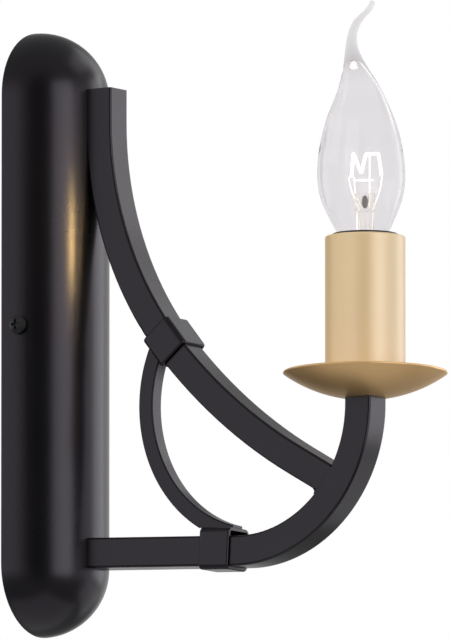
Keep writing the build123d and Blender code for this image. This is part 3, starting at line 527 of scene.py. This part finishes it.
# Pieces that the solids leave out, or give only plainly
bulbFoot = {"reach": 0.1551, "height": -0.0048}       # the bulb's axis, and the tip of its contact
bulbAcross = viewRight                                # the filament and the bent tip lie in this upright plane
bulbFacing = bulbAcross.cross(Vector((0, 0, 1)))
mergeWithin = 0.000002


def inBulb(across, height, near=0.0):                 # millimetres from the bulb's axis and its foot
    foot = Vector((0, -bulbFoot["reach"], bulbFoot["height"]))
    return foot + (bulbAcross * across + Vector((0, 0, height)) + bulbFacing * near) / perMetre


def pick(piece):
    bpy.ops.object.select_all(action="DESELECT")
    piece.select_set(True)
    bpy.context.view_layer.objects.active = piece


def startEdit(piece):                      # with all of it selected
    pick(piece)
    bpy.ops.object.mode_set(mode="EDIT")
    bpy.ops.mesh.select_all(action="SELECT")


def endEdit():
    bpy.ops.object.mode_set(mode="OBJECT")


def outwards(piece):
    startEdit(piece)
    bpy.ops.mesh.remove_doubles(threshold=mergeWithin)
    bpy.ops.mesh.normals_make_consistent(inside=False)
    endEdit()


def joinTo(piece, others):
    pick(piece)
    for other in others:
        other.select_set(True)
    bpy.ops.object.join()


def softenEdges(piece, width, steps):
    pick(piece)
    soft = piece.modifiers.new("softEdges", "BEVEL")
    soft.width = width
    soft.segments = steps
    soft.limit_method = "ANGLE"
    bpy.ops.object.modifier_apply(modifier="softEdges")


def keepPiece(piece, name, body, finish, smoothBelow):
    pick(piece)
    bpy.ops.object.transform_apply(location=True, rotation=True, scale=True)
    bpy.ops.object.shade_smooth_by_angle(angle=math.radians(smoothBelow))
    piece.name = name
    piece.data.name = name
    piece.data.materials.clear()
    piece.data.materials.append(finishes[finish])
    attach(piece, body)
    return piece


# The weld where the upper arm runs into the lower one: a bead along each side, dressed flush, and a small fillet
armWeld = {
    "bendReach": 0.1004,                   # the middle of the lower arm's bend
    "bendHeight": -0.0383,
    "bendInside": 0.0487,
    "halfBar": 0.006,
    "barRound": 0.001,
    "roundSteps": 6,
    "underRound": 0.98,                    # the bead's underside, as a share of the bar's rounded edge
    "sink": 0.00012,                       # how far the bead goes into the upper arm
    "seamFrom": -44.9,                     # degrees round the bend
    "seamTo": -30.4,
    "seamSteps": 14,
    "cornerReach": 0.1356,
    "cornerHeight": -0.0719,
    "alongUpper": (-0.867, 0.4985),        # reach and height, away from the corner
    "alongLower": (-0.690, -0.723),
    "filletRound": 0.0013,
    "filletInset": 0.00003,                # in from the bars' sides
    "scoopLength": 0.03,
    "scoopSides": 64,
    "smoothBelow": 35,
}


def roundBend(v, radius, across, degrees):
    angle = math.radians(degrees)
    return Vector((across, -v["bendReach"] - radius * math.cos(angle),
                   v["bendHeight"] + radius * math.sin(angle)))


def beadOutline(v):                        # distances from the middle of the bend, and across
    top = v["bendInside"] - v["sink"]
    roundMiddle = v["bendInside"] + v["barRound"]
    roundAcross = v["halfBar"] - v["barRound"]
    outline = [(top, v["halfBar"]), (top, roundAcross)]
    for step in range(v["roundSteps"] + 1):
        angle = math.radians(180 - 90 * step / v["roundSteps"])
        flush = 1.0 if step == v["roundSteps"] else v["underRound"]
        outline.append((roundMiddle + v["barRound"] * v["underRound"] * math.cos(angle),
                        roundAcross + v["barRound"] * flush * math.sin(angle)))
    return outline


def makeSeamBead(v, side):
    outline = beadOutline(v)
    bpy.ops.object.select_all(action="DESELECT")
    bpy.ops.mesh.primitive_circle_add(vertices=len(outline), radius=v["barRound"], fill_type="NGON")
    bead = bpy.context.object
    for vertex, (radius, across) in zip(bead.data.vertices, outline):
        vertex.co = roundBend(v, radius, side * across, v["seamFrom"])
    startEdit(bead)
    bpy.ops.mesh.spin(steps=v["seamSteps"], angle=math.radians(v["seamTo"] - v["seamFrom"]), axis=(1, 0, 0),
                      center=(0, -v["bendReach"], v["bendHeight"]))
    endEdit()
    outwards(bead)
    return bead


def makeCornerFillet(v):
    corner = Vector((v["cornerReach"], v["cornerHeight"]))
    upper = Vector(v["alongUpper"])
    lower = Vector(v["alongLower"])
    between = (upper + lower).normalized()
    halfAngle = upper.angle(lower) / 2
    run = v["filletRound"] / math.tan(halfAngle)
    middle = corner + between * v["filletRound"] / math.sin(halfAngle)
    sunk = [corner - between * v["sink"], corner + upper * run - lower * v["sink"], middle,
            corner + lower * run - upper * v["sink"]]
    half = v["halfBar"] - v["filletInset"]
    bpy.ops.object.select_all(action="DESELECT")
    bpy.ops.mesh.primitive_circle_add(vertices=len(sunk), radius=v["filletRound"], fill_type="NGON")
    fillet = bpy.context.object
    for vertex, (reach, height) in zip(fillet.data.vertices, sunk):
        vertex.co = (-half, -reach, height)
    startEdit(fillet)
    bpy.ops.mesh.extrude_region_move(TRANSFORM_OT_translate={"value": (2 * half, 0, 0)})
    endEdit()
    outwards(fillet)
    bpy.ops.object.select_all(action="DESELECT")
    bpy.ops.mesh.primitive_cylinder_add(vertices=v["scoopSides"], radius=v["filletRound"], depth=v["scoopLength"],
                                        location=(0, -middle.x, middle.y), rotation=(0, math.pi / 2, 0))
    cutter = bpy.context.object
    pick(fillet)
    scoop = fillet.modifiers.new("scoop", "BOOLEAN")
    scoop.operation = "DIFFERENCE"
    scoop.solver = "EXACT"
    scoop.object = cutter
    bpy.ops.object.modifier_apply(modifier="scoop")
    bpy.data.objects.remove(cutter)
    return fillet


beads = [makeSeamBead(armWeld, side) for side in (-1, 1)]
weld = makeCornerFillet(armWeld)
joinTo(weld, beads)
keepPiece(weld, "armWeld", "fixture", "blackSatin", armWeld["smoothBelow"])
print("stage: weld between the arms")


# The filament: a wound coil bent to an M, in place of the plain bar
filament = {
    "bends": [(-5.4, 55.8), (-4.6, 65.3), (-1.5, 57.4), (0.3, 65.0), (5.2, 65.2), (6.6, 55.8)],   # across, height
    "bendEase": 1.1,
    "bendSaves": 0.0004,                   # what each rounded bend saves in length
    "coilRadius": 0.00046,
    "wireRadius": 0.00015,
    "wireSides": 6,
    "pitch": 0.00042,
    "turnSteps": 12,
    "smoothBelow": 60,
}


def makeWay(name, points, order=3, steps=10):          # a smooth guide line through the bulb
    wayData = bpy.data.curves.new(name, "CURVE")
    wayData.dimensions = "3D"
    line = wayData.splines.new("NURBS")
    line.points.add(len(points) - 1)
    for point, place in zip(line.points, points):
        point.co = (*place, 1)
    line.order_u = order
    line.use_endpoint_u = True
    line.resolution_u = steps
    way = bpy.data.objects.new(name, wayData)
    scene.collection.objects.link(way)
    return way


def easedBends(bends, ease):
    points = [Vector(bends[0])]
    for before, here, after in zip(bends, bends[1:], bends[2:]):
        here = Vector(here)
        points.append(here + (Vector(before) - here).normalized() * ease)
        points.append(here)
        points.append(here + (Vector(after) - here).normalized() * ease)
    return points + [Vector(bends[-1])]


def makeFilament(v):
    way = makeWay("filamentWay", [inBulb(*p) for p in easedBends(v["bends"], v["bendEase"])])
    length = sum((Vector(b) - Vector(a)).length for a, b in zip(v["bends"], v["bends"][1:])) / perMetre
    length -= v["bendSaves"] * (len(v["bends"]) - 2)
    bpy.ops.object.select_all(action="DESELECT")
    bpy.ops.mesh.primitive_circle_add(vertices=v["wireSides"], radius=v["wireRadius"],
                                      location=(v["coilRadius"], 0, 0), rotation=(math.pi / 2, 0, 0))
    coil = bpy.context.object
    bpy.ops.object.transform_apply(location=True, rotation=True, scale=True)
    winding = coil.modifiers.new("winding", "SCREW")
    winding.axis = "Z"
    winding.screw_offset = v["pitch"]
    winding.iterations = int(length / v["pitch"])
    winding.steps = v["turnSteps"]
    winding.render_steps = v["turnSteps"]
    winding.use_merge_vertices = False
    bpy.ops.object.modifier_apply(modifier="winding")
    bent = coil.modifiers.new("bent", "CURVE")
    bent.object = way
    bent.deform_axis = "POS_Z"
    bpy.ops.object.modifier_apply(modifier="bent")
    bpy.data.objects.remove(way)
    startEdit(coil)
    bpy.ops.mesh.fill_holes(sides=v["wireSides"])
    endEdit()
    outwards(coil)
    return coil


coil = keepPiece(makeFilament(filament), "filamentCoil", "bulb", "hotTungsten", filament["smoothBelow"])
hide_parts("bulb_filament")
print("stage: filament")


# The wires in the bulb: a hooked lead to each end of the filament, and two posts with a glass rod across them
leads = {
    "wires": [                             # across, height
        [(-1.7, 31.0), (-1.8, 41.0), (-3.9, 47.0), (-5.3, 50.2), (-6.3, 54.0), (-6.2, 56.6), (-5.3, 56.4)],
        [(-1.2, 43.5), (-2.6, 46.5), (-3.8, 48.9), (-4.2, 52.5), (-4.3, 55.9)],
        [(1.5, 43.5), (1.7, 47.0), (1.75, 55.0), (1.75, 64.7)],
        [(1.9, 31.0), (2.2, 41.0), (3.5, 44.6), (5.5, 49.8), (6.4, 53.8), (6.6, 56.3)],
    ],
    "wireRadius": 0.0003,
    "wireRounding": 2,
    "smoothBelow": 50,
}


def makeLeads(v):
    wires = []
    for points in v["wires"]:
        wire = makeWay("wire", [inBulb(*p) for p in points])
        wire.data.bevel_depth = v["wireRadius"]
        wire.data.bevel_resolution = v["wireRounding"]
        wire.data.use_fill_caps = True
        pick(wire)
        bpy.ops.object.convert(target="MESH")
        wires.append(bpy.context.object)
    joinTo(wires[0], wires[1:])
    outwards(wires[0])
    return wires[0]


wires = keepPiece(makeLeads(leads), "leadWires", "bulb", "leadWirePaintedGlow", leads["smoothBelow"])
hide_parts("bulb_leads")

glassRod = {"from": -4.9, "to": 3.4, "height": 54.6, "radius": 0.00052, "sides": 20, "endRound": 0.00022,
            "endSteps": 4, "smoothBelow": 60}


def makeGlassRod(v):
    middle = inBulb((v["from"] + v["to"]) / 2, v["height"])
    bpy.ops.object.select_all(action="DESELECT")
    bpy.ops.mesh.primitive_cylinder_add(vertices=v["sides"], radius=v["radius"],
                                        depth=(v["to"] - v["from"]) / perMetre, location=middle,
                                        rotation=bulbAcross.to_track_quat("Z", "Y").to_euler())
    rod = bpy.context.object
    softenEdges(rod, v["endRound"], v["endSteps"])
    outwards(rod)
    return rod


# the rod's brightness is a painted glow
keepPiece(makeGlassRod(glassRod), "glassRod", "bulb", "glassPaintedGlow", glassRod["smoothBelow"])

# The sealed end of the tube that the bulb was emptied through; its dark grey is painted, standing for the dark that
# the stem's glass refracts there
exhaustEnd = {"across": -0.1, "height": 46.07, "halfWide": 0.00125, "halfTall": 0.0026, "thick": 0.0012,
              "sides": 40, "edgeRound": 0.0004, "edgeSteps": 4, "smoothBelow": 60}


def makeExhaustEnd(v):
    bpy.ops.object.select_all(action="DESELECT")
    bpy.ops.mesh.primitive_circle_add(vertices=v["sides"], radius=1, fill_type="NGON",
                                      location=inBulb(v["across"], v["height"], -v["thick"] / 2 * perMetre),
                                      rotation=(math.pi / 2, 0, math.atan2(bulbAcross.y, bulbAcross.x)))
    end = bpy.context.object
    end.scale = (v["halfWide"], v["halfTall"], 1)
    bpy.ops.object.transform_apply(location=True, rotation=True, scale=True)
    startEdit(end)
    bpy.ops.mesh.extrude_region_move(TRANSFORM_OT_translate={"value": bulbFacing * v["thick"]})
    endEdit()
    outwards(end)
    softenEdges(end, v["edgeRound"], v["edgeSteps"])
    return end


keepPiece(makeExhaustEnd(exhaustEnd), "exhaustEnd", "bulb", "paintedDarkBead", exhaustEnd["smoothBelow"])

# A thin glowing shell of glass under the closed top of the bulb's hollow, a bright drop to the eye: a painted
# highlight for the glint of the filament's light there
highlightDrop = {"across": -4.5, "top": 102.25, "hang": 3.4, "halfWide": 1.6, "wall": 0.0005, "sides": 32, "rings": 24,
              "smoothBelow": 50}


def makeHighlightDrop(v):
    foot = inBulb(v["across"], v["top"] - v["hang"])
    bpy.ops.object.select_all(action="DESELECT")
    bpy.ops.mesh.primitive_uv_sphere_add(segments=v["sides"], ring_count=v["rings"],
                                         radius=v["halfWide"] / perMetre, location=foot)
    drop = bpy.context.object
    drop.scale = (1, 1, v["hang"] / v["halfWide"])
    bpy.ops.object.transform_apply(location=True, rotation=True, scale=True)
    startEdit(drop)
    bpy.ops.mesh.bisect(plane_co=foot, plane_no=(0, 0, 1), clear_inner=True)
    endEdit()
    thicken = drop.modifiers.new("thicken", "SOLIDIFY")
    thicken.thickness = v["wall"]
    thicken.offset = -1
    bpy.ops.object.modifier_apply(modifier="thicken")
    outwards(drop)
    return drop


keepPiece(makeHighlightDrop(highlightDrop), "highlightDrop", "bulb", "glassPaintedGlow", highlightDrop["smoothBelow"])
print("stage: wires, rod, exhaust and drop in the bulb")
